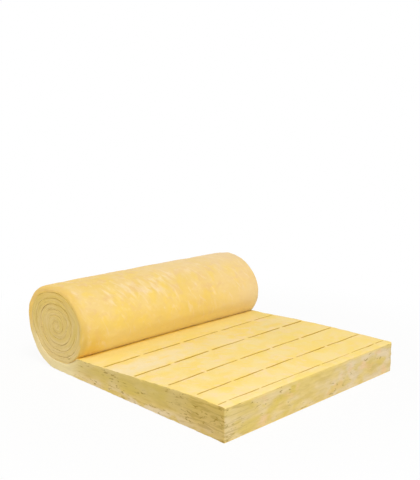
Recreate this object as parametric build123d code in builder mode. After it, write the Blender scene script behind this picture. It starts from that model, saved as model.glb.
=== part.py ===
from build123d import *
import os
from math import asin, cos, degrees, sqrt

# Glass wool insulation roll, partly unrolled on a floor. It is one felted mat: its cut end
# lies flat and has sprung back to full thickness, and the rest is still wound up. The roll
# lies a little askew to the laid mat.
# X runs along the laid mat towards its cut end, Y across the mat, Z up. The origin is on
# the floor, at the middle of the whole object's length and width.

# Driving dimensions of the mat, in millimetres
mat_width = 1200.0
mat_thickness = 154.0  # where it has fully recovered
laid_length = 925.0  # from the front of the roll to the cut end, halfway across the mat
full_thickness_length = 150.0  # back from the cut end
nip_thickness = 108.0  # where the laid mat meets the roll
underlay_thickness = 50.0  # under the middle of the roll

# Driving dimensions of the roll, which sags to an oval under its own weight
roll_height = 442.0
roll_flat = 87.0  # straight run at the top and bottom of the outer turn
roll_skew = 56.0  # how much nearer the cut end its +Y end lies than its -Y end
turn_thickness = 30.0  # of one wound, compressed turn
eye_radius = 20.0  # the winding starts with a half turn just over this

# Gaps between the turns, where they show on the roll's two ends
turn_gap = 4.0
turn_gap_depth = 12.0

# Cut marks scored across the laid mat, each a row of dashes
mark_distance_shares = (0.04, 0.19, 0.385, 0.61, 0.85)  # of the laid length, from the cut end
mark_width = 3.0
mark_depth = 3.0
mark_dashes = 5  # in one row
mark_dash_gap = 20.0
mark_overrun = 2.0  # of the scoring tool above the mat

# Places, halfway across the mat, of the roll's two half turns and of its nip with the laid mat
back_radius = roll_height / 2
front_radius = (roll_height - underlay_thickness) / 2
roll_depth = back_radius + roll_flat + front_radius
cut_end_x = (laid_length + roll_depth + roll_skew / 2) / 2
front_centre_x = cut_end_x - laid_length - front_radius
front_centre_z = roll_height - front_radius
back_centre_x = front_centre_x - roll_flat
nip_angle = asin((front_centre_z - nip_thickness) / front_radius)
nip_x = front_centre_x + front_radius * cos(nip_angle)
half_turn = 180
nip_turn = half_turn / 2 + degrees(nip_angle)  # from the roll's top down to the nip

# The laid mat recovers its thickness along one large arc
full_thickness_x = cut_end_x - full_thickness_length
recovery_length = full_thickness_x - nip_x
recovery_drop = mat_thickness - nip_thickness
recovery_radius = (recovery_length**2 + recovery_drop**2) / (2 * recovery_drop)


def laid_top_height(x, y):
    into_recovery = max(0, full_thickness_x - x + y * roll_skew / mat_width)
    return mat_thickness - recovery_radius + sqrt(recovery_radius**2 - into_recovery**2)


# Side outline, square to the roll: the floor line, round the roll to the nip, then the top of
# the laid mat. It runs on past the cut end, which is trimmed later
along_roll = Vector(roll_skew, mat_width, 0)
across_roll = Plane((0, 0, 0), x_dir=(mat_width, -roll_skew, 0), z_dir=-along_roll)
untrimmed_x = cut_end_x + roll_skew
with BuildSketch(across_roll) as section:
    with BuildLine() as outline:
        underside = Line((untrimmed_x, 0), (back_centre_x, 0))
        roll_back = JernArc(underside @ 1, underside % 1, back_radius, -half_turn)
        roll_top = Line(roll_back @ 1, (front_centre_x, roll_height))
        roll_front = JernArc(roll_top @ 1, roll_top % 1, front_radius, -nip_turn)
        laid_top = Line((untrimmed_x, mat_thickness), (full_thickness_x, mat_thickness))
        recovery = TangentArc(laid_top @ 1, roll_front @ 1, tangent=laid_top % 1)
        untrimmed_end = Line(laid_top @ 0, underside @ 0)
    make_face()

# The winding on from the nip: half turns that tighten towards the eye of the roll
with BuildSketch(Plane.XZ) as turn_gaps:
    with BuildLine() as winding:
        mouth = Line(roll_front @ 1 - (roll_front % 1) * turn_gap, roll_front @ 1)
        bend = JernArc(mouth @ 1, mouth % 1, front_radius, nip_turn - half_turn)
        radius = front_radius - turn_thickness / 2
        while radius > eye_radius:
            flat = roll_flat * radius / back_radius
            run = Line(bend @ 1, bend @ 1 + (bend % 1) * flat)
            bend = JernArc(run @ 1, run % 1, radius, -half_turn)
            radius -= turn_thickness / 2
    trace(line_width=turn_gap)

with BuildPart() as mat:
    extrude(section.sketch, amount=mat_width, both=True)

    # The mat's cut end and its two sides are square to each other
    mat_sides = (Plane.XZ.offset(mat_width / 2), Plane.ZX.offset(mat_width / 2))
    for trim_plane in (Plane.YZ.offset(cut_end_x), *mat_sides):
        split(bisect_by=trim_plane, keep=Keep.BOTTOM)

    # The turns show on both ends of the roll
    for side in (1, -1):
        with BuildSketch(Plane.XZ.offset(-side * mat_width / 2)):
            with Locations((side * roll_skew / 2, 0)):
                add(turn_gaps.sketch_local)
        extrude(amount=side * turn_gap_depth, mode=Mode.SUBTRACT)

    # The dashes of a row run from one side of the mat to the other
    dash_pitch = (mat_width + mark_dash_gap) / mark_dashes
    for distance_share in mark_distance_shares:
        mark_x = cut_end_x - distance_share * laid_length
        for dash in range(mark_dashes):
            dash_y = (dash - (mark_dashes - 1) / 2) * dash_pitch
            with BuildSketch(Plane.XY.offset(laid_top_height(mark_x, dash_y) + mark_overrun)):
                with Locations((mark_x, dash_y)):
                    Rectangle(mark_width, dash_pitch - mark_dash_gap)
            extrude(amount=-mark_depth - mark_overrun, mode=Mode.SUBTRACT)

mat.part.label = "glass_wool_mat"

os.makedirs("parts", exist_ok=True)
export_step(mat.part, "parts/glass_wool_mat.step")
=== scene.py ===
from math import asin, cos, pi, radians, sin, sqrt

import bpy
import numpy as np
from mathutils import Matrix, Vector, noise


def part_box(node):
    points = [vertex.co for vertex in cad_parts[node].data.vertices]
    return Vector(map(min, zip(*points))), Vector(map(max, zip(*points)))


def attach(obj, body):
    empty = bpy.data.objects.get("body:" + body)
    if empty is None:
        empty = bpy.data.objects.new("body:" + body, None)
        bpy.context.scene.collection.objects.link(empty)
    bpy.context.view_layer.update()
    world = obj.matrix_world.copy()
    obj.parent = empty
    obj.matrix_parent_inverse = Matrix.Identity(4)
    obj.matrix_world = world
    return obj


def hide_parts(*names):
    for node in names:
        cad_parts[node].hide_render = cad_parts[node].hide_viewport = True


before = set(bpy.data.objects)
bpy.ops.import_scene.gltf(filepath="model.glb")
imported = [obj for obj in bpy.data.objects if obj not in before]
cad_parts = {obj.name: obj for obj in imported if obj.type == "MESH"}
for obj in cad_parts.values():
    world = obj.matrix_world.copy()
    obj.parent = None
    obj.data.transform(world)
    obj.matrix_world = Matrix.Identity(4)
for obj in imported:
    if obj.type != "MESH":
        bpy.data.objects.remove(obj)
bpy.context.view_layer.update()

# The mat is one long felt of glass fibre, spun in thin layers and bound with a resin that colours it
# yellow. Its cut end lies flat and has sprung back to full thickness. The rest is still wound up and
# pressed thin, so its turns show on both ends of the roll, which lies a little askew.
mat_low, mat_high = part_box("glass_wool_mat")
mat_width = mat_high.y - mat_low.y
cut_end_x = mat_high.x
roll_height = mat_high.z
mat_thickness = 0.154
laid_length = 0.925
full_thickness_length = 0.150
near_nip_thickness, far_nip_thickness = 0.100, 0.125
near_taper, far_taper = 1.2, 2.0
underlay_thickness = 0.050
roll_flat = 0.087
roll_skew = 0.056
turn_thickness = 0.030

back_radius = roll_height / 2
front_radius = (roll_height - underlay_thickness) / 2
front_centre_x = cut_end_x - laid_length - front_radius
front_centre_z = roll_height - front_radius
nip_thickness = (near_nip_thickness + far_nip_thickness) / 2
nip_angle = asin((front_centre_z - nip_thickness) / front_radius)
nip_x = front_centre_x + front_radius * cos(nip_angle)
full_thickness_x = cut_end_x - full_thickness_length
taper_length = full_thickness_x - nip_x


def smooth(low, high, value):
    """0 at low, 1 at high, with an easy rise between them."""
    t = np.clip((value - low) / (high - low), 0.0, 1.0)
    return t * t * (3 - 2 * t)


# The roll is undercut where it meets the laid mat, most from the middle of the mat to its far side
near_undercut, far_undercut, far_set_back = 0.006, 0.018, 0.006
undercut_heights = (0.09, 0.22)
full_undercut_y = 0.1


def set_back(y, z):
    """How far the roll's front lies back at a height."""
    far = smooth(-mat_width / 2, full_undercut_y, y)
    low = 1 - smooth(*undercut_heights, z)
    return far_set_back * far + (near_undercut + (far_undercut - near_undercut) * far) * low


# The laid mat swells a little just in front of the roll, which squeezes it
nip_swell, swell_start, swell_end = 0.004, 0.12, 0.01


def laid_top(x, y):
    """Height of the laid mat's top, which thins towards the roll, soonest on the near side, and under it."""
    far = 0.5 + y / mat_width
    taper = near_taper + (far_taper - near_taper) * far
    thinning = mat_thickness - near_nip_thickness - (far_nip_thickness - near_nip_thickness) * far
    top = mat_thickness - thinning * max(0.0, (full_thickness_x - x) / taper_length) ** taper
    top += nip_swell * smooth(nip_x + swell_start, nip_x + swell_end, x)
    under_roll = x + set_back(y, top) - front_centre_x
    if abs(under_roll) > front_radius:
        return top
    return min(top, front_centre_z - sqrt(front_radius**2 - under_roll**2))


# The winding is a chain of half turns, two to a turn, that tighten to a closed eye
full_turn = 2
eye_radius = 0.0015


def half_turns():
    """Half turns of the winding, from the floor inwards: start, way along X, flat run and radius."""
    radii = [back_radius, *np.arange(front_radius, turn_thickness / 2, -turn_thickness / 2)]
    flats = [roll_flat] * full_turn + [roll_flat * r / back_radius for r in radii[full_turn:]]
    turns = []
    x, z, way = front_centre_x, 0.0, -1
    for radius, flat in zip(radii + [eye_radius] * full_turn, flats + [0.0] * full_turn):
        turns.append((x, z, way, flat, radius))
        x += way * flat
        z -= 2 * way * radius
        way = -way
    return turns


def along_half_turn(turn, flat_share, arc_share):
    """A point of a half turn, part way along its flat run and then part way round its arc."""
    x, z, way, flat, radius = turn
    angle = way * pi / 2 - pi * arc_share
    return x + way * flat * flat_share + radius * cos(angle), z - way * radius + radius * sin(angle)


# How finely the mat is modelled: the spacing of its sections, and the points across and down each of them
laid_spacing = 0.0070
outer_turn_spacing = 0.0070
inner_turn_spacing = 0.0100
least_gap = 0.4 * laid_spacing
least_count = 4
shown_columns = 150
hidden_columns = 3
corner_steps = 4
rim_steps = 8
laid_side_steps = 15
wound_side_steps = 5


def even_shares(length, spacing):
    """Even shares of a run, from its start to just before its end."""
    count = max(least_count, round(length / spacing))
    return np.arange(count) / count


# Rows of dashes are scored across the laid mat, as guides for cutting it. The rows' places are shares of
# the laid length from the cut end, and the gaps between the dashes shares of the width from the near side
mark_row_shares = (0.050, 0.199, 0.394, 0.620, 0.860)
mark_gap_shares = (
    (0.055, 0.22, 0.57, 0.76, 0.93),
    (0.012, 0.20, 0.38, 0.56, 0.76),
    (0.012, 0.21, 0.395, 0.59, 0.775),
    (0.20, 0.41, 0.625, 0.85),
    (0.20, 0.42, 0.645, 0.86),
)
mark_half_widths = (0.0046, 0.0066, 0.0080, 0.0088, 0.0094)
mark_section_shares = (-1.4, -0.9, -0.45, 0.0, 0.45, 0.9, 1.4)

# Each section of the mat joins a point of its outer face to one of its inner face. The first ones round
# off the cut end, and each row of marks has its own
cut_edge = 0.005
corner_turns = np.linspace(0, pi / 2, corner_steps + 1)
end_sections = list(cut_end_x - cut_edge * (1 - np.cos(corner_turns)))
mark_sections = [
    cut_end_x - row_share * laid_length + section_share * mark_half_width
    for row_share, mark_half_width in zip(mark_row_shares, mark_half_widths)
    for section_share in mark_section_shares
]
laid_run = cut_end_x - front_centre_x
own_sections = np.array(end_sections + mark_sections)
even_sections = [
    x
    for x in cut_end_x - laid_run * even_shares(laid_run, laid_spacing)
    if np.abs(own_sections - x).min() > least_gap
]
laid_sections = sorted([*own_sections, *even_sections], reverse=True)
outer_line = [(x, 0.0) for x in laid_sections]
inner_line = [(x, laid_top(x, 0.0)) for x in laid_sections]
turns = half_turns()
turn_starts = []
for number, (outer_turn, inner_turn) in enumerate(zip(turns, turns[full_turn:])):
    turn_starts.append(len(outer_line))
    spacing = outer_turn_spacing if number < full_turn else inner_turn_spacing
    _, _, _, flat_run, radius = outer_turn
    steps = [(share, 0.0) for share in even_shares(flat_run, spacing)]
    steps += [(1.0, share) for share in even_shares(pi * radius, spacing)]
    outer_line += [along_half_turn(outer_turn, *step) for step in steps]
    inner_line += [along_half_turn(inner_turn, *step) for step in steps]
outer_line, inner_line = np.array(outer_line), np.array(inner_line)
section_count, laid_count, outer_turn_end = len(outer_line), turn_starts[0], turn_starts[full_turn]

# How far each section is along the mat from the cut end, and how far it is wound up, inside the roll, in
# the stretch where the marks bow, and drawn askew with the roll
lift_off_length = 0.28
tuck_in_start, tuck_in_end = 0.12, 0.02
bow_start, bow_end = (0.02, 0.16), (0.90, 1.10)
skew_growth = 2.5
section_steps = np.linalg.norm(np.diff((outer_line + inner_line) / 2, axis=0), axis=1)
run = np.concatenate([[0.0], np.cumsum(section_steps)])
wound = smooth(run[laid_count], run[laid_count] + lift_off_length, run)
inside = smooth(run[outer_turn_end] - tuck_in_start, run[outer_turn_end] - tuck_in_end, run)
bowed = smooth(*bow_start, run) * (1 - smooth(*bow_end, run))
askew = roll_skew / mat_width * np.clip(run / (cut_end_x - nip_x), 0.0, 1.0) ** skew_growth

# The roll is a little out of true. It leans back, its lower back is tucked in and its back bulges, its top
# is crowned, and its turns are crushed here and there
back_lean, lean_height = 0.09, 0.19
low_tuck, tuck_heights = 0.007, (0.05, 0.16)
back_bulge, bulge_start, bulge_end = 0.0035, (0.12, 0.22), (0.32, 0.42)
crown_x, crown_rise, crown_heights = front_centre_x - roll_flat / 2, 0.001, (0.25, 0.40)
front_fall, front_fall_start, front_fall_end = 0.009, crown_x + 0.01, crown_x + 0.16
back_fall, back_fall_end, back_slope = 0.007, crown_x - 0.05, (crown_x - 0.20, crown_x - 0.10)
crush, crush_scale, crush_heights = 0.0025, 6.5, (0.02, 0.16)
crush_start, crush_end = nip_x + 0.03, nip_x - 0.10
crush_seeds, end_seed, felt_seed = (3.7, 8.2), 11.3, 23.9
for line in (outer_line, inner_line):
    for i in range(laid_count, section_count):
        x, z = line[i]
        lean = back_lean * (z - lean_height) - low_tuck * (1 - smooth(*tuck_heights, z))
        lean += back_bulge * smooth(*bulge_start, z) * (1 - smooth(*bulge_end, z))
        lean *= smooth(front_centre_x, front_centre_x - back_radius, x)
        crown = crown_rise - front_fall * smooth(front_fall_start, front_fall_end, x)
        crown -= back_fall * smooth(crown_x, back_fall_end, x) * smooth(*back_slope, x)
        crown *= smooth(*crown_heights, z)
        lift = crush * smooth(*crush_heights, z) * smooth(crush_start, crush_end, x)
        push_x, push_z = (noise.noise((x * crush_scale, seed, z * crush_scale)) for seed in crush_seeds)
        line[i] = x + lift * push_x - lean, z + lift * push_z + crown

# The mat's sides ripple, and its turns wander in and out and are dished at the ends of the roll
wander, wander_scale = 0.0040, 2.6
ripple, ripple_scale, laid_ripple_share = 0.0028, 22.0, 0.4
dish = 0.002
side_seed = 5.0


def half_width(side, i):
    """How far the mat reaches to one side at a section."""
    swing = wander * wound[i] * noise.noise((run[i] * wander_scale, side * side_seed, end_seed))
    ripple_here = ripple * (laid_ripple_share + (1 - laid_ripple_share) * wound[i])
    swing += ripple_here * noise.noise((run[i] * ripple_scale, side * side_seed, end_seed))
    return mat_width / 2 + swing - dish * inside[i]


# Points of the mat, with what the finish needs to know at each: its place in the flat mat, how far it is on
# a cut face, and how far on the laid length. The near end of the roll droops, and its far end rises to a peak
mark_bow = 0.010
set_back_start, set_back_end = front_centre_x - 0.05, front_centre_x + 0.12
near_droop, droop_heights = 0.009, (0.2, 0.4)
far_peak, peak_x, peak_reach = 0.006, crown_x - 0.02, 0.10
peak_ys, peak_heights = (0.05, 0.60), (0.30, 0.40)
points, strip, cut, laid = [], [], [], []


def add_row(i, depth_shares, ys, cut_shares):
    """A row of points in a section. Returns their numbers."""
    first = len(points)
    for depth_share, y, cut_share in np.broadcast(depth_shares, ys, cut_shares):
        x, z = outer_line[i] + (inner_line[i] - outer_line[i]) * depth_share
        if i < laid_count:
            x -= mark_bow * smooth(-mat_width / 2, 0.0, y) * bowed[i]
            z = depth_share * laid_top(x, y)
        else:
            x -= set_back(y, z) * smooth(set_back_start, set_back_end, x)
            z -= near_droop * (0.5 - y / mat_width) ** 2 * smooth(*droop_heights, z)
            peak = smooth(peak_reach, 0.0, abs(x - peak_x)) * smooth(*peak_ys, y)
            z += far_peak * peak * smooth(*peak_heights, z)
        points.append((x + askew[i] * y, y, z))
        strip.append((run[i], y, depth_share * mat_thickness))
        cut.append(cut_share)
        laid.append(1 - wound[i])
    return list(range(first, len(points)))


# Edges are crisp where the mat is cut and lies flat. The outer turn of the roll has a soft rim, given by its
# depth and width, where the skin laps over the cut face, and so it does a little along the laid top
near_rim, far_rim = (0.024, 0.040), (0.012, 0.009)
rim_heights, low_rim_share = (0.06, 0.22), 0.4
low_rim_wrap, high_rim_wrap = 0.2, 6.0
wound_edge = 0.0025
deepest_rim_share, deepest_edge_share = 0.8, 0.19
lap_share, back_lap_share = 0.22, 0.4
back_lap_heights, back_lap_xs = (0.16, 0.34), (-0.40, -0.56)
top_lap_share, top_lap_depth = 0.08, 0.030
under_roll_run = (0.92, 1.0)


def side_profile(i, thickness, side_steps, edge, rim):
    """Depths and insets of the points down one side of a section, and how far each is on the cut face."""
    rim_depth, rim_width = rim
    x, z = outer_line[i]
    raised = smooth(*rim_heights, z)
    on_rim = wound[i] * (1 - inside[i])
    rim_here = on_rim * (low_rim_share + (1 - low_rim_share) * raised)
    back_lap = back_lap_share * smooth(*back_lap_heights, z) * smooth(*back_lap_xs, x)
    lap = on_rim * (lap_share * raised + back_lap)
    depth = min(edge + (rim_depth - edge) * rim_here, deepest_rim_share * thickness)
    width = edge + (rim_width - edge) * rim_here
    edge = min(edge, deepest_edge_share * thickness)
    turn = corner_turns[1:]
    rim_turn = np.linspace(0, pi / 2, rim_steps + 1)[1:] if rim_here > 0 else turn
    straight = np.linspace(depth, thickness - edge, side_steps + 1)[1:-1]
    depths = [*depth * (1 - np.cos(rim_turn)), *straight, *(thickness - edge * (1 - np.cos(turn)))[::-1]]
    insets = [*width * (1 - np.sin(rim_turn)), *np.zeros(side_steps - 1), *edge * (1 - np.sin(turn))[::-1]]
    top_lap = top_lap_share * (1 - wound[i])
    rim_wrap = 1 + wound[i] * ((high_rim_wrap - 1) * raised + (low_rim_wrap - 1) * (1 - raised))
    rim_cut = np.maximum(np.sin(rim_turn) ** rim_wrap * (1 - lap), inside[i])
    straight_cut = (1 - lap) * (1 - top_lap * smooth(top_lap_depth, edge, thickness - straight))
    top_cut = np.maximum(np.sin(turn)[::-1] * (1 - top_lap), smooth(*under_roll_run, run[i]))
    cut_shares = [*rim_cut, *straight_cut, *top_cut]
    return np.array(depths), np.array(insets), np.array(cut_shares), width, edge


# Each section's points in four rows, which go round it: outer face, far side, inner face and near side
turn_slack = 0.0003
unevenness, uneven_scale = 0.9, 30.0
spare_sections = 2
shown_under_roll = 0.03
sections = []
for i in range(section_count):
    thickness = np.linalg.norm(inner_line[i] - outer_line[i])
    drawn_in = cut_edge * (1 - sin(corner_turns[i])) if i <= corner_steps else 0.0
    margin = (drawn_in + turn_slack * wound[i]) / thickness
    side_steps = laid_side_steps if i < laid_count else wound_side_steps
    uneven = 1 + unevenness * noise.noise((run[i] * uneven_scale, 0.0, end_seed))
    edge = (cut_edge + (wound_edge - cut_edge) * wound[i]) * uneven
    outer_shown = i == 0 or laid_count <= i <= outer_turn_end + spare_sections
    inner_shown = i < laid_count and inner_line[i][0] > nip_x - shown_under_roll
    outer_columns = shown_columns if outer_shown else hidden_columns
    inner_columns = shown_columns if inner_shown else hidden_columns
    sides = []
    for side, rim in ((-1, near_rim), (1, far_rim)):
        profile = side_profile(i, thickness, side_steps, edge, rim)
        depths, insets, cut_shares, outer_inset, inner_inset = profile
        reach = half_width(side, i) - drawn_in
        depth_shares = margin + (1 - 2 * margin) * depths / thickness
        sides.append((depth_shares, side * (reach - insets), cut_shares))
        sides.append((side * (reach - outer_inset), side * (reach - inner_inset)))
    near_side, (near_outer, near_inner), far_side, (far_outer, far_inner) = sides
    outer_row = add_row(i, margin, np.linspace(near_outer, far_outer, outer_columns + 1), inside[i])
    inner_row = add_row(i, 1 - margin, np.linspace(far_inner, near_inner, inner_columns + 1), wound[i])
    far_row = add_row(i, *far_side)
    near_row = add_row(i, *(values[::-1] for values in near_side))
    sections.append((
        outer_row,
        [outer_row[-1], *far_row, inner_row[0]],
        inner_row,
        [inner_row[-1], *near_row, outer_row[0]],
    ))

# Faces of the mat, with the place of each of their corners in the picture that the finish is baked into
faces, corner_places = [], []


def join_rows(row, next_row, patch):
    """Faces between two rows of points: four-sided where the rows match, or else three-sided. The patch is
    their left, right, low and high in the baked picture."""
    left, right, low, high = patch
    row = [(point, (left, v)) for point, v in zip(row, np.linspace(low, high, len(row)))]
    next_row = [(point, (right, v)) for point, v in zip(next_row, np.linspace(low, high, len(next_row)))]
    joined = []
    if len(row) == len(next_row):
        joined = zip(row[1:], row, next_row, next_row[1:])
    else:
        here, there = 0, 0
        while here < len(row) - 1 or there < len(next_row) - 1:
            if (here + 1) / (len(row) - 1) <= (there + 1) / (len(next_row) - 1):
                joined.append((row[here + 1], row[here], next_row[there]))
                here += 1
            else:
                joined.append((next_row[there], next_row[there + 1], row[here]))
                there += 1
    for corners in joined:
        faces.append([point for point, _ in corners])
        corner_places.extend(place for _, place in corners)


# The baked picture has room first for what shows: the top of the laid mat, the skin of the roll and the cut
# end, then the sides, of which the wound ones lie in three lengths. Each patch has the row of a section that
# it takes, its first and last sections, and its left, right, low and high in shares of the picture
outer_kind, far_kind, inner_kind, near_kind = range(4)
shown_run = 0.96
nip_section = int(np.argmax(run > shown_run))
last_section = section_count - 1
picture_patches = [
    (inner_kind, 0, nip_section, 0.0, 0.365, 0.0, 0.62),
    (outer_kind, laid_count, outer_turn_end, 0.37, 0.915, 0.0, 0.62),
    (near_kind, 0, laid_count, 0.0, 0.495, 0.625, 0.71),
    (far_kind, 0, laid_count, 0.5, 1.0, 0.625, 0.71),
    (outer_kind, 0, laid_count, 0.0, 1.0, 0.715, 0.77),
    (inner_kind, nip_section, last_section, 0.0, 0.495, 0.96, 0.99),
    (outer_kind, outer_turn_end, last_section, 0.5, 0.97, 0.96, 0.99),
]
cut_end_patch = (0.92, 1.0, 0.0, 0.62)
inner_end_centre, inner_end_radius = (0.985, 0.975), 0.01
wound_low_shares = {near_kind: (0.775, 0.805, 0.835), far_kind: (0.865, 0.895, 0.925)}
wound_height_share = 0.025
for kind, lows in wound_low_shares.items():
    ends = np.linspace(laid_count, last_section, len(lows) + 1).astype(int)
    for first, last, low in zip(ends, ends[1:], lows):
        picture_patches.append((kind, first, last, 0.0, 1.0, low, low + wound_height_share))
for kind, first, last, left, right, low, high in picture_patches:
    edges = np.linspace(left, right, last - first + 1)
    for i, patch_left, patch_right in zip(range(first, last), edges, edges[1:]):
        join_rows(sections[i][kind], sections[i + 1][kind], (patch_left, patch_right, low, high))

# The cut end is closed by a grid of its own, and the inner end of the winding by one face
outer_row, far_row, inner_row, near_row = sections[0]
end_rows = [outer_row]
for near_point, far_point in zip(near_row[-2:0:-1], far_row[1:-1]):
    ys = np.linspace(points[near_point][1], points[far_point][1], shown_columns + 1)[1:-1]
    between = add_row(0, strip[near_point][2] / mat_thickness, ys, 1.0)
    end_rows.append([near_point, *between, far_point])
end_rows.append(inner_row[::-1])
left, right, low, high = cut_end_patch
edges = np.linspace(right, left, len(end_rows))
for row, next_row, patch_right, patch_left in zip(end_rows, end_rows[1:], edges, edges[1:]):
    join_rows(next_row, row, (patch_left, patch_right, low, high))
outer_row, far_row, inner_row, near_row = sections[-1]
inner_end = (outer_row + far_row[1:] + inner_row[1:] + near_row[1:-1])[::-1]
faces.append(inner_end)
for angle in np.linspace(0, 2 * pi, len(inner_end), endpoint=False):
    u, v = inner_end_centre
    corner_places.append((u + inner_end_radius * cos(angle), v + inner_end_radius * sin(angle)))
points, strip, cut, laid = (np.array(values) for values in (points, strip, cut, laid))

# The dashes of each row of marks are pressed into the top of the laid mat, harder here and there, and they
# wander a little from a straight line
mark_row_forces = (0.78, 0.88, 0.90, 0.94, 0.90)
mark_half_gaps = (0.007, 0.008, 0.008, 0.012, 0.012)
mark_depth = 0.0060
mark_margin = 0.014
mark_wander, mark_wander_scale = 0.0022, 7
force_change, force_scale = 0.5, 5
wander_row_seed, force_row_seed = 40, 90
gap_end_shares, margin_start_share = (0.4, 1.9), 0.5
mark_wall = 1.5
least_laid = 0.99
along_mat, across_mat, in_depth = strip.T
on_top = (cut < 0.5) & (in_depth > mat_thickness / 2) & (laid > least_laid)
scored = np.zeros(len(points))
mark_rows = zip(mark_row_shares, mark_gap_shares, mark_row_forces, mark_half_widths, mark_half_gaps)
for row_share, gap_shares, row_force, mark_half_width, mark_half_gap in mark_rows:
    wander_seed, force_seed = row_share * wander_row_seed, row_share * force_row_seed
    bends = [noise.noise((y * mark_wander_scale, wander_seed, felt_seed)) for y in across_mat]
    forces = [noise.noise((y * force_scale, force_seed, felt_seed)) for y in across_mat]
    off = np.abs(along_mat - row_share * laid_length - mark_wander * np.array(bends)) / mark_half_width
    gaps = mat_low.y + mat_width * np.array(gap_shares)
    to_gap = np.abs(across_mat[:, None] - gaps).min(axis=1)
    dash = smooth(*(mark_half_gap * share for share in gap_end_shares), to_gap)
    dash *= smooth(mark_margin * margin_start_share, mark_margin, mat_width / 2 - np.abs(across_mat))
    dash *= row_force + force_change * np.array(forces)
    scored = np.maximum(scored, on_top * dash * np.clip(mark_wall * (1 - off), 0.0, 1.0))

mesh = bpy.data.meshes.new("glass_wool_felt")
mesh.from_pydata(points.tolist(), [], faces)
mesh.update()
normals = np.zeros(len(points) * 3, np.float32)
mesh.vertex_normals.foreach_get("vector", normals)
normals = normals.reshape(-1, 3)

# The felted faces are lumpy, less on the laid mat, and the cut faces show the edges of the fibre layers,
# less on the roll. What lies on the floor is flat
lump_roughness, lump_spread = 0.9, 2.1
broad_lumps, broad_scale = 0.0022, 9
small_lumps, small_scale = 0.0010, 55
layer_edges, layer_scales = 0.0016, (9, 9, 95)
laid_smoothing, wound_cut_share = 0.45, 0.4
floor_reach = 0.03


def lumps(places, octaves):
    """Soft lumps at each place, about -1 to 1."""
    return np.array([noise.fractal(p, lump_roughness, lump_spread, octaves) for p in places.tolist()])


face_relief = broad_lumps * lumps(points * broad_scale + felt_seed, 2)
face_relief += small_lumps * lumps(points * small_scale + felt_seed, 2)
face_relief *= (1 - cut) * (1 - laid_smoothing * laid)
cut_relief = layer_edges * lumps(strip * layer_scales + felt_seed, 3)
cut_relief *= cut * (wound_cut_share + (1 - wound_cut_share) * laid)
relief = face_relief + cut_relief - mark_depth * scored
on_floor = (in_depth < mat_thickness / 2) * (1 - smooth(0.0, floor_reach, points[:, 2]))
points += normals * (relief * (1 - on_floor))[:, None]
points[:, 2] = np.maximum(points[:, 2], 0.0)
mesh.vertices.foreach_set("co", points.ravel())
for name, kind, key, values in (
    ("strip", "FLOAT_VECTOR", "vector", strip),
    ("cut", "FLOAT", "value", cut),
    ("laid", "FLOAT", "value", laid),
    ("scored", "FLOAT", "value", scored),
):
    mesh.attributes.new(name, kind, "POINT").data.foreach_set(key, values.ravel().astype(np.float32))
mesh.uv_layers.new(name="OFBake").data.foreach_set("uv", np.array(corner_places, np.float32).ravel())
mesh.polygons.foreach_set("use_smooth", [True] * len(mesh.polygons))
mesh.update()
felt = bpy.data.objects.new("glass_wool_felt", mesh)
bpy.context.scene.collection.objects.link(felt)


class Wire:
    """A socket in a material's node tree. Sums on it add Math nodes."""

    def __init__(self, tree, socket=None):
        self.tree = tree
        self.socket = socket

    def node(self, kind, settings, inputs, output=0):
        """A new node: its type, its settings, then the values or links of its sockets."""
        made = self.tree.nodes.new("ShaderNode" + kind)
        for name, value in settings.items():
            setattr(made, name, value)
        for name, value in inputs.items():
            if isinstance(value, Wire):
                self.tree.links.new(value.socket, made.inputs[name])
            else:
                made.inputs[name].default_value = value
        return Wire(self.tree, made.outputs[output] if made.outputs else None)

    def maths(self, operation, a, b):
        return self.node("Math", {"operation": operation}, {0: a, 1: b})

    def __add__(self, other):
        return self.maths("ADD", self, other)

    def __radd__(self, other):
        return self.maths("ADD", other, self)

    def __sub__(self, other):
        return self.maths("SUBTRACT", self, other)

    def __rsub__(self, other):
        return self.maths("SUBTRACT", other, self)

    def __mul__(self, other):
        return self.maths("MULTIPLY", self, other)

    def __rmul__(self, other):
        return self.maths("MULTIPLY", other, self)

    def rise(self, low, high):
        """0 below low, 1 above high, with an easy rise between them."""
        settings = {"interpolation_type": "SMOOTHSTEP"}
        return self.node("MapRange", settings, {"Value": self, "From Min": low, "From Max": high})

    def blend(self, colour, other):
        """colour where this is 0, other where it is 1."""
        return self.node("Mix", {"data_type": "RGBA"}, {0: self, 6: colour, 7: other}, 2)


def new_tree(owner):
    """An empty node tree for a material or a world."""
    owner.use_nodes = True
    owner.node_tree.nodes.clear()
    return Wire(owner.node_tree)


def srgb(red, green, blue):
    """A colour as a screen shows it, 0 to 255, in the linear values that a shader takes."""
    channels = [c / 255 for c in (red, green, blue)]
    return [c / 12.92 if c <= 0.04045 else ((c + 0.055) / 1.055) ** 2.4 for c in channels] + [1.0]


# The finish is laid out on the flat mat, so the zones below are in metres along it from its cut end, across
# it from its middle line, and up through its depth
wool = bpy.data.materials.new("glass_wool")
tree = new_tree(wool)
on_mat = tree.node("Attribute", {"attribute_name": "strip"}, {}, "Vector")
along, across, depth = (tree.node("SeparateXYZ", {}, {"Vector": on_mat}, axis) for axis in "XYZ")
in_room = tree.node("TexCoord", {}, {}, "Object")
above_floor = tree.node("SeparateXYZ", {}, {"Vector": in_room}, "Z")
on_cut, on_laid, on_mark = (
    tree.node("Attribute", {"attribute_name": name}, {}, "Fac") for name in ("cut", "laid", "scored")
)
on_roll = 1 - on_laid


def cloud(stretch, scale, detail, distortion=0.0, where=on_mat):
    """Cloudy noise on the flat mat, drawn together along its length, width and depth by stretch."""
    scaled = tree.node("VectorMath", {"operation": "MULTIPLY"}, {0: where, 1: stretch})
    inputs = {"Vector": scaled, "Scale": scale, "Detail": detail, "Distortion": distortion}
    return tree.node("TexNoise", {}, inputs, "Fac")


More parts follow.
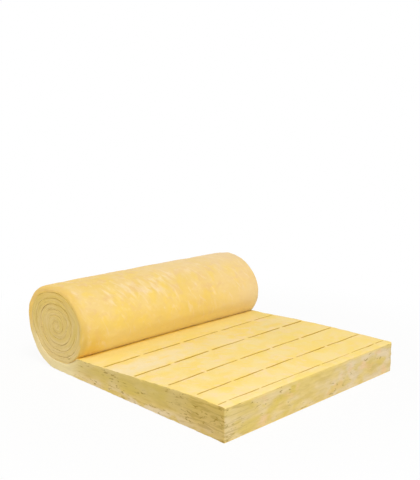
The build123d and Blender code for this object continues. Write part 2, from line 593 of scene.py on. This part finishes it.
def tinted(colour, *tints):
    """A colour with tints laid over it in turn. Each has its strength, where it lies, and its own colour."""
    for strength, where, tint in tints:
        colour = (strength * where).blend(colour, srgb(*tint))
    return colour


# The skin, where the felt was pressed: honey yellow, with peach clouds, pale wisps and fine specks
wisp_slant = radians(-24)
slanted = tree.node("VectorRotate", {"rotation_type": "Z_AXIS"}, {"Vector": on_mat, "Angle": wisp_slant})
wisps = cloud((0.5, 1.5, 1), 24, 4, 0.6, slanted)
patches = cloud((1, 1, 1), 7, 2, 0.4)
honey = cloud((1, 1.2, 1), 10.3, 3, 0.5)
peach = cloud((1.1, 1, 1), 16.3, 3, 0.7)
specks = cloud((1, 1, 1), 46, 3, 0.5)

# On the roll the low front and its ends have painted bounce light off the laid mat, and the crease by the
# laid mat has painted warm bounce light. The far part is paler, most at its top, and the rims are darker
near_end = 1 - across.rise(-0.57, -0.42)
painted_bounce_honey = along.rise(2.06, 2.20) * (1 - 0.7 * across.rise(-0.05, 0.35)) * (1 - near_end)
painted_bounce_pale = along.rise(2.17, 2.35) * (1 - near_end)
painted_bounce_near_end = along.rise(2.10, 2.26) * near_end
painted_bounce_far_end = along.rise(2.08, 2.20) * across.rise(0.15, 0.40)
painted_crease_bounce = along.rise(2.30, 2.39)
far_part = across.rise(0.25, 0.55)
far_top = along.rise(1.60, 1.75) * (1 - along.rise(1.92, 2.05)) * across.rise(-0.20, 0.10)
wispy_front = along.rise(1.96, 2.00) * (1 - along.rise(2.05, 2.11))
wispy_front = wispy_front * across.rise(-0.45, -0.30) * (1 - across.rise(-0.08, 0.08))
rims = 1 - across.rise(-0.590, -0.556) + across.rise(0.588, 0.598)
roll_skin = tinted(
    patches.rise(0.36, 0.64).blend(srgb(240, 206, 116), srgb(242, 210, 139)),
    (0.7, honey.rise(0.46, 0.72), (246, 212, 103)),
    (0.75, peach.rise(0.46, 0.70), (237, 199, 136)),
    # painted bounce light off the laid mat on the roll's low front and its ends, in pale, honey and golden
    # tints
    (0.4, painted_bounce_honey, (253, 224, 116)),
    (0.85, painted_bounce_pale, (255, 237, 172)),
    (0.6, painted_bounce_near_end, (244, 208, 92)),
    (0.4, painted_bounce_far_end, (255, 233, 172)),
    # painted warm bounce light in the crease where the roll meets the laid mat
    (0.85, painted_crease_bounce, (254, 211, 80)),
    (0.35, far_part, (247, 217, 172)),
    (0.4, far_top, (248, 220, 176)),
    (0.5, wisps.rise(0.54, 0.74), (252, 228, 186)),
    (0.45, wispy_front * wisps.rise(0.40, 0.60), (250, 227, 186)),
    (0.2, specks.rise(0.54, 0.72), (252, 227, 180)),
    (0.6, rims, (230, 192, 98)),
)

# The laid skin is lighter, with a pale strip on its near side, and painted warm bounce light in the crease by
# the roll
laid_far = across.rise(-0.10, 0.50) * (1 - along.rise(0.52, 0.62))
pale_strip = along.rise(0.57, 0.63) * (1 - along.rise(0.70, 0.78)) * (1 - across.rise(-0.45, 0.05))
painted_laid_crease_bounce = along.rise(0.955, 0.985) * (1 - along.rise(1.0, 1.06))
laid_skin = tinted(
    patches.rise(0.34, 0.66).blend(srgb(250, 219, 124), srgb(249, 224, 154)),
    (0.45, honey.rise(0.50, 0.68), (249, 220, 104)),
    (0.6, peach.rise(0.48, 0.68), (251, 221, 170)),
    (0.2, specks.rise(0.54, 0.70), (248, 232, 184)),
    (0.32, laid_far, (249, 218, 114)),
    (0.85, pale_strip * peach.rise(0.22, 0.52), (248, 228, 182)),
    (0.5, along.rise(0.76, 0.90), (243, 222, 130)),
    (0.75, along.rise(0.86, 0.92), (238, 213, 124)),
    # painted warm bounce light in the crease by the roll
    (0.85, painted_laid_crease_bounce, (255, 219, 80)),
)
skin = on_laid.blend(roll_skin, laid_skin)

# The cut faces show the felt's layers: khaki, with pale clumps, olive stains, a peach blush, dark seams at
# the front corner and a few dark pits
layering = cloud((1, 1, 4), 12, 3, 0.3)
clumps = cloud((1, 1, 1.8), 6.4, 2)
stains = cloud((1, 1, 2.2), 7.3, 3, 0.2)
blush = cloud((1, 1, 1.8), 9.1, 2)
rings = cloud((0.3, 1, 3.4), 15, 2)
seams = cloud((1, 1, 9), 4.6, 2, 0.2)
pits = cloud((0.55, 0.55, 1.5), 60, 3, 0.6)
pit_zones = cloud((1, 1, 2), 6.1, 1)
on_end = 1 - along.rise(0.0, 0.006)
on_side = on_laid * (1 - on_end)
front_corner = (1 - along.rise(0.06, 0.42)) * (1 - across.rise(-0.56, -0.42))
side_front = (1 - along.rise(0.10, 0.42)) * (1 - on_end)
underlay = along.rise(0.90, 1.10) * (1 - along.rise(1.30, 1.60))
seam = seams.rise(0.44, 0.49) * (1 - seams.rise(0.51, 0.56))
pitted = (pit_zones + 0.08 * on_side).rise(0.48, 0.58) * (pits + 0.02 * on_side).rise(0.60, 0.70)
core = tinted(
    layering.rise(0.32, 0.68).blend(srgb(222, 195, 114), srgb(233, 208, 134)),
    (0.35 + 0.4 * on_laid, clumps.rise(0.42, 0.64), (237, 215, 168)),
    (0.45 + 0.25 * on_laid, stains.rise(0.50, 0.68), (225, 200, 98)),
    (0.7, on_end * across.rise(-0.15, 0.30) * clumps.rise(0.32, 0.58), (236, 216, 184)),
    (0.6, on_end * blush.rise(0.56, 0.70), (243, 204, 156)),
    (0.5, on_end * stains.rise(0.48, 0.70), (222, 195, 84)),
    (0.3, on_end * (1 - across.rise(-0.50, -0.30)), (216, 196, 142)),
    (0.7, on_end * depth.rise(0.126, 0.153), (243, 216, 124)),
    (0.55, on_side * depth.rise(0.02, 0.10), (207, 186, 104)),
    (0.8, on_side * (1 - depth.rise(0.01, 0.06)) * blush.rise(0.45, 0.57), (242, 224, 192)),
    (0.5, side_front, (210, 178, 86)),
    (0.85, underlay, (246, 233, 188)),
    (0.4, on_roll * rings.rise(0.50, 0.66), (205, 174, 92)),
    (0.5, on_roll * above_floor.rise(0.27, 0.42), (237, 202, 94)),
    (0.4, on_roll * (1 - above_floor.rise(0.08, 0.22)), (238, 216, 166)),
    (0.1 + 0.35 * front_corner, seam, (170, 140, 58)),
    (0.75, pitted * (1 - underlay), (158, 126, 38)),
)

# Skin and cut faces meet in a ragged line, and the felt is browned where it is scored
ragged = on_cut + 0.5 * (peach - 0.5) + 0.4 * (specks - 0.5)
colour = (on_cut * ragged.rise(0.62, 0.90)).blend(skin, core)
colour = on_mark.rise(0.05, 0.8).blend(colour, srgb(186, 144, 20))
fibres = cloud((1, 1, 1), 190, 6, 1.6)
fluff = cloud((1, 1, 1), 62, 4, 1.0)
fine_layers = cloud((1, 1, 6), 30, 6, 0.5)
height = (0.5 * fluff + 0.5 * fibres) * (1 - on_cut) + (0.75 * fine_layers + 0.25 * fibres) * on_cut
finish = {
    "Base Color": colour,
    "Roughness": 0.95,
    "Specular IOR Level": 0.12,
    "Sheen Weight": 0.1,
    "Normal": tree.node("Bump", {}, {"Strength": 0.5, "Distance": 0.004, "Height": height}, "Normal"),
}
tree.node("OutputMaterial", {}, {"Surface": tree.node("BsdfPrincipled", {}, finish, "BSDF")})
mesh.materials.append(wool)
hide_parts("glass_wool_mat")
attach(felt, "root")

# The floor is a wide sheet of white paper that the roll lies on. It isn't part of the object, so the
# camera sees it nearly white, with a faint shadow where the mat meets it.
floor_half = 30.0
floor_drop = 0.0005
shadow_share = 0.08
shadow_reach = (0.9, 2.0)
corners = [(floor_half * x, floor_half * y, -floor_drop) for x, y in ((-1, -1), (1, -1), (1, 1), (-1, 1))]
floor_mesh = bpy.data.meshes.new("floor")
floor_mesh.from_pydata(corners, [], [range(len(corners))])
floor = bpy.data.objects.new("floor", floor_mesh)
bpy.context.scene.collection.objects.link(floor)
paper = bpy.data.materials.new("white_paper")
tree = new_tree(paper)


def straight_ray(tree):
    """1 for a ray that shows the backdrop: one from the camera, or one mirrored or let through."""
    kinds = ("Is Camera Ray", "Is Glossy Ray", "Is Transmission Ray")
    camera, mirrored, through = (tree.node("LightPath", {}, {}, kind) for kind in kinds)
    return camera + mirrored + through


floor_place = tree.node("TexCoord", {}, {}, "Object")
away = tree.node("VectorMath", {"operation": "LENGTH"}, {0: floor_place}, "Value")
lit = tree.node("BsdfDiffuse", {}, {"Color": srgb(232, 231, 228)}, "BSDF")
glow = tree.node("Emission", {}, {"Color": (1, 1, 1, 1), "Strength": 1.0}, "Emission")
whiteness = straight_ray(tree) * (1 - shadow_share + shadow_share * away.rise(*shadow_reach))
shown = tree.node("MixShader", {}, {0: whiteness, 1: lit, 2: glow}, "Shader")
tree.node("OutputMaterial", {}, {"Surface": shown})
floor_mesh.materials.append(paper)

# The light is a pale studio all round, with one large soft lamp above the camera's right shoulder, a low one
# in front of the cut end, a warm one beside the near end of the roll and one behind the roll.
world = bpy.data.worlds.new("studio")
bpy.context.scene.world = world
tree = new_tree(world)
room = tree.node("Background", {}, {"Color": (1.0, 0.99, 0.97, 1.0), "Strength": 0.40}, "Background")
backdrop = tree.node("Background", {}, {"Color": (1, 1, 1, 1), "Strength": 1.0}, "Background")
seen = tree.node("MixShader", {}, {0: straight_ray(tree), 1: room, 2: backdrop}, "Shader")
tree.node("OutputWorld", {}, {"Surface": seen})


def add_lamp(name, place, target, size, power, colour=(1.0, 1.0, 1.0)):
    """A round soft lamp that shines at a target."""
    light = bpy.data.lights.new(name, "AREA")
    light.color = colour
    light.shape = "DISK"
    light.size = size
    light.energy = power
    lamp = bpy.data.objects.new(name, light)
    lamp.location = place
    lamp.rotation_euler = (Vector(place) - Vector(target)).to_track_quat("Z", "Y").to_euler()
    bpy.context.scene.collection.objects.link(lamp)


warm_white = (1.0, 0.90, 0.70)
add_lamp("key_lamp", place=(2.6, -1.5, 6.0), target=(0.0, 0.0, 0.1), size=3.5, power=254)
add_lamp("front_lamp", place=(4.5, -0.6, 1.2), target=(0.0, 0.0, 0.2), size=2.0, power=29)
add_lamp("side_lamp", (-1.8, -3.2, 1.3), (-0.4, -0.6, 0.2), size=1.6, power=25, colour=warm_white)
add_lamp("back_lamp", place=(-4.5, 1.8, 1.4), target=(-0.5, 0.0, 0.2), size=2.5, power=45)

# The camera stands at the height and angle of the photograph. Its place is taken from the near corner of the
# cut end, and the picture is taller than it is wide, so the lens goes by its height.
picture_height = 480
focal_pixels = 780.8
camera_ahead, camera_aside, camera_height = 2.053, 2.092, 1.383
camera_tilt, camera_turn = radians(90 - 10.62), radians(45.61)
camera_data = bpy.data.cameras.new("camera")
camera_data.sensor_width = 36.0
camera_data.lens = focal_pixels * camera_data.sensor_width / picture_height
camera = bpy.data.objects.new("camera", camera_data)
camera.location = (cut_end_x + camera_ahead, mat_low.y - camera_aside, camera_height)
camera.rotation_euler = (camera_tilt, 0.0, camera_turn)
bpy.context.scene.collection.objects.link(camera)
bpy.context.scene.camera = camera
bpy.context.scene.view_settings.view_transform = "Standard"
